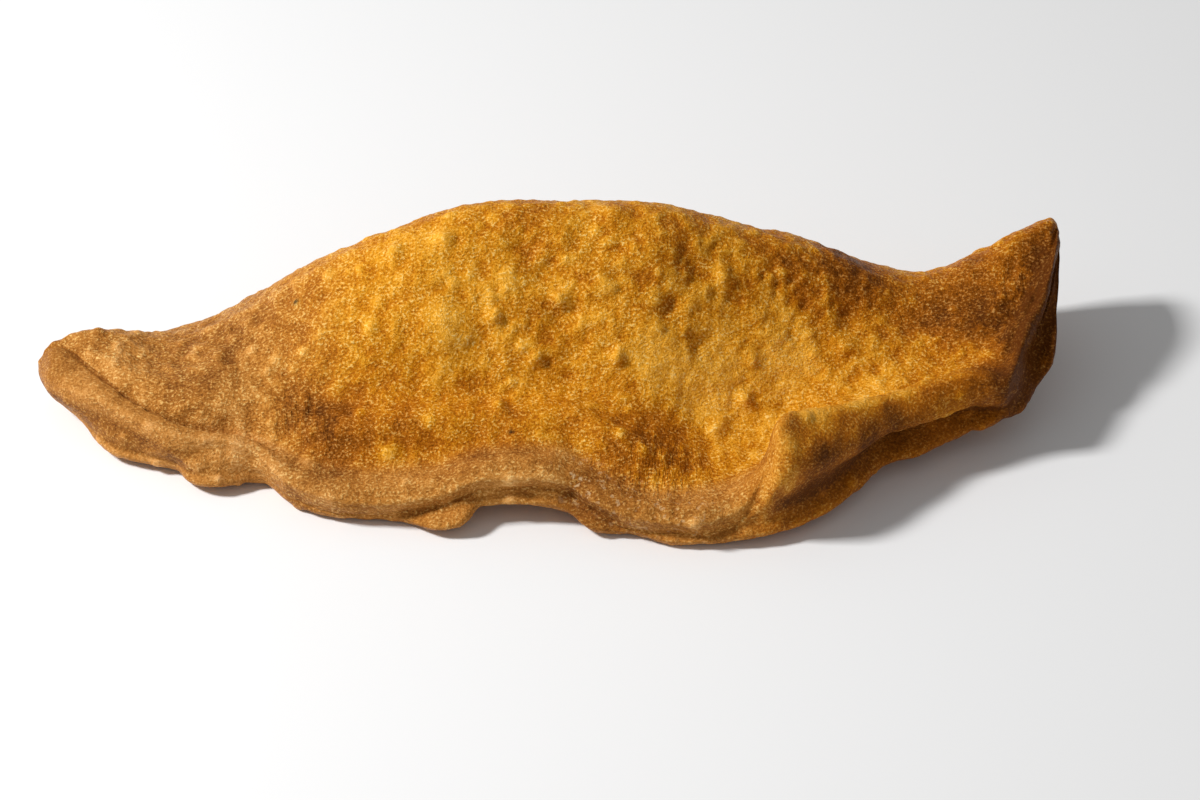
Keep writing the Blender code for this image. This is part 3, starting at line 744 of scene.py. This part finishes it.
for name in kept:
    reader = tree.nodes.new("ShaderNodeAttribute")
    reader.attribute_name = name
    masks[name] = reader.outputs["Fac"]

blotches = math_step(tree, "MULTIPLY", grained.outputs["Blotches"], masks["calm"])
streaks = math_step(tree, "MULTIPLY", grained.outputs["Streaks"], masks["pleated"])
evened = math_step(tree, "ADD", math_step(tree, "MULTIPLY", masks["calm"], CALM_GRAINS), 1 - CALM_GRAINS)
grains = math_step(tree, "MULTIPLY", grained.outputs["Grains"], evened)
shown_bake_and_painted_light = masks["bake_and_painted_light"]
for operation, part, share in (
    ("ADD", blotches, BLOTCH_SHARE),
    ("SUBTRACT", streaks, STREAK_SHARE),
    ("SUBTRACT", grains, GRAIN_SHARE),
):
    shown_bake_and_painted_light = math_step(tree, operation, shown_bake_and_painted_light, math_step(tree, "MULTIPLY", part, share))

# Painted glints: a painted highlight on the highest grains, thinned in patches and on dark or calm dough.
patches = math_step(tree, "MULTIPLY", grained.outputs["Blotches"], GLINT_PATCHES)
paler = math_step(tree, "SUBTRACT", GLINTS_GONE, masks["bake_and_painted_light"])
painted_glints = math_step(tree, "SUBTRACT", GLINT_SHARE, patches)
for factor in (paler, masks["calm"], grained.outputs["Glints"]):
    painted_glints = math_step(tree, "MULTIPLY", painted_glints, factor)
painted_glints.node.use_clamp = True
dusty = math_step(tree, "MULTIPLY", grained.outputs["Specks"], masks["flour"])
dusty.node.use_clamp = True

coloured = tree.nodes.new("ShaderNodeGroup")
coloured.node_tree = colour
shares = {"Bake": shown_bake_and_painted_light, "Tan": masks["tan"], "Glints": painted_glints, "Flour": dusty, "Char": masks["char"]}
for label, source in shares.items():
    tree.links.new(source, coloured.inputs[label])
tree.links.new(coloured.outputs["Color"], oily.inputs["Base Color"])
dulled = math_step(tree, "MULTIPLY", grained.outputs["Blotches"], DULL_PATCHES)
tree.links.new(math_step(tree, "ADD", dulled, DULL), oily.inputs["Roughness"])

# Its bumps, each a strength and a height in metres, the broadest first.
normal = None
for height, (strength, distance) in (
    (grained.outputs["Blotches"], BLOTCH_BUMP),
    (streaks, STREAK_BUMP),
    (grained.outputs["Grains"], GRAIN_BUMP),
):
    bump = add(tree, "ShaderNodeBump", Strength=strength, Distance=distance)
    tree.links.new(height, bump.inputs["Height"])
    if normal is not None:
        tree.links.new(normal, bump.inputs["Normal"])
    normal = bump.outputs["Normal"]
tree.links.new(normal, oily.inputs["Normal"])
mesh.materials.append(dough)


# The floor: a plain matt sheet of pale paper, laid flat and far wider than the picture. The turnover rests on
# it, and it takes the shadow.
FLOOR_HALF = 3.0
PAPER_COLOUR = (0.86, 0.86, 0.86, 1)
PAPER_ROUGHNESS = 0.8
CORNERS = ((-1, -1), (1, -1), (1, 1), (-1, 1))
floor_mesh = bpy.data.meshes.new("floor")
floor_mesh.from_pydata(
    [(across * FLOOR_HALF, deep * FLOOR_HALF, cad_box[0][2]) for across, deep in CORNERS],
    [],
    [(0, 1, 2, 3)],
)
floor = bpy.data.objects.new("floor", floor_mesh)
bpy.context.scene.collection.objects.link(floor)
paper = bpy.data.materials.new("pale_paper")
paper.use_nodes = True
paper.node_tree.nodes["Principled BSDF"].inputs["Base Color"].default_value = PAPER_COLOUR
paper.node_tree.nodes["Principled BSDF"].inputs["Roughness"].default_value = PAPER_ROUGHNESS
floor_mesh.materials.append(paper)


# The light: a soft square lamp from the left, half way up, as in the photograph, and a pale room round it
# that fills the shadows.
KEY_AZIMUTH = math.radians(-85)
KEY_ELEVATION = math.radians(45)
KEY_DISTANCE = 0.9
KEY_SIZE = 0.14
KEY_POWER = 9.0
FILL = 0.3
ROOM_COLOUR = (1, 1, 1, 1)
middle = Vector(((cad_low + cad_high) / 2 * MM).tolist())


def towards(azimuth, elevation):
    """The direction from the object to a viewer or lamp; azimuth 0 stands at -Y, and turns towards +X."""
    level = math.cos(elevation)
    return Vector((math.sin(azimuth) * level, -math.cos(azimuth) * level, math.sin(elevation)))


def aim(thing, target, direction, distance):
    """Puts a lamp or camera at a distance from its target and turns it to face it."""
    thing.location = target + direction * distance
    thing.rotation_mode = "QUATERNION"
    thing.rotation_quaternion = (-direction).to_track_quat("-Z", "Y")


key = bpy.data.objects.new("key", bpy.data.lights.new("key", "AREA"))
key.data.size = KEY_SIZE
key.data.energy = KEY_POWER
aim(key, middle, towards(KEY_AZIMUTH, KEY_ELEVATION), KEY_DISTANCE)
bpy.context.scene.collection.objects.link(key)
room = bpy.data.worlds.new("room")
room.use_nodes = True
room.node_tree.nodes["Background"].inputs["Color"].default_value = ROOM_COLOUR
room.node_tree.nodes["Background"].inputs["Strength"].default_value = FILL
bpy.context.scene.world = room
bpy.context.scene.view_settings.view_transform = "Standard"


# The camera: 40 degrees up and straight on to the rim, at the photograph's framing. The place that it looks
# at is in the design's millimetres, and its lens and sensor are in millimetres too.
CAMERA_ELEVATION = math.radians(40)
CAMERA_DISTANCE = 0.7
LENS = 109.2
SENSOR = 36
LOOK_AT = (9.6, -10.0, 9.8)
camera = bpy.data.objects.new("camera", bpy.data.cameras.new("camera"))
camera.data.lens = LENS
camera.data.sensor_width = SENSOR
aim(camera, (Vector(LOOK_AT) + Vector(shift.tolist())) * MM, towards(0, CAMERA_ELEVATION), CAMERA_DISTANCE)
bpy.context.scene.collection.objects.link(camera)
bpy.context.scene.camera = camera
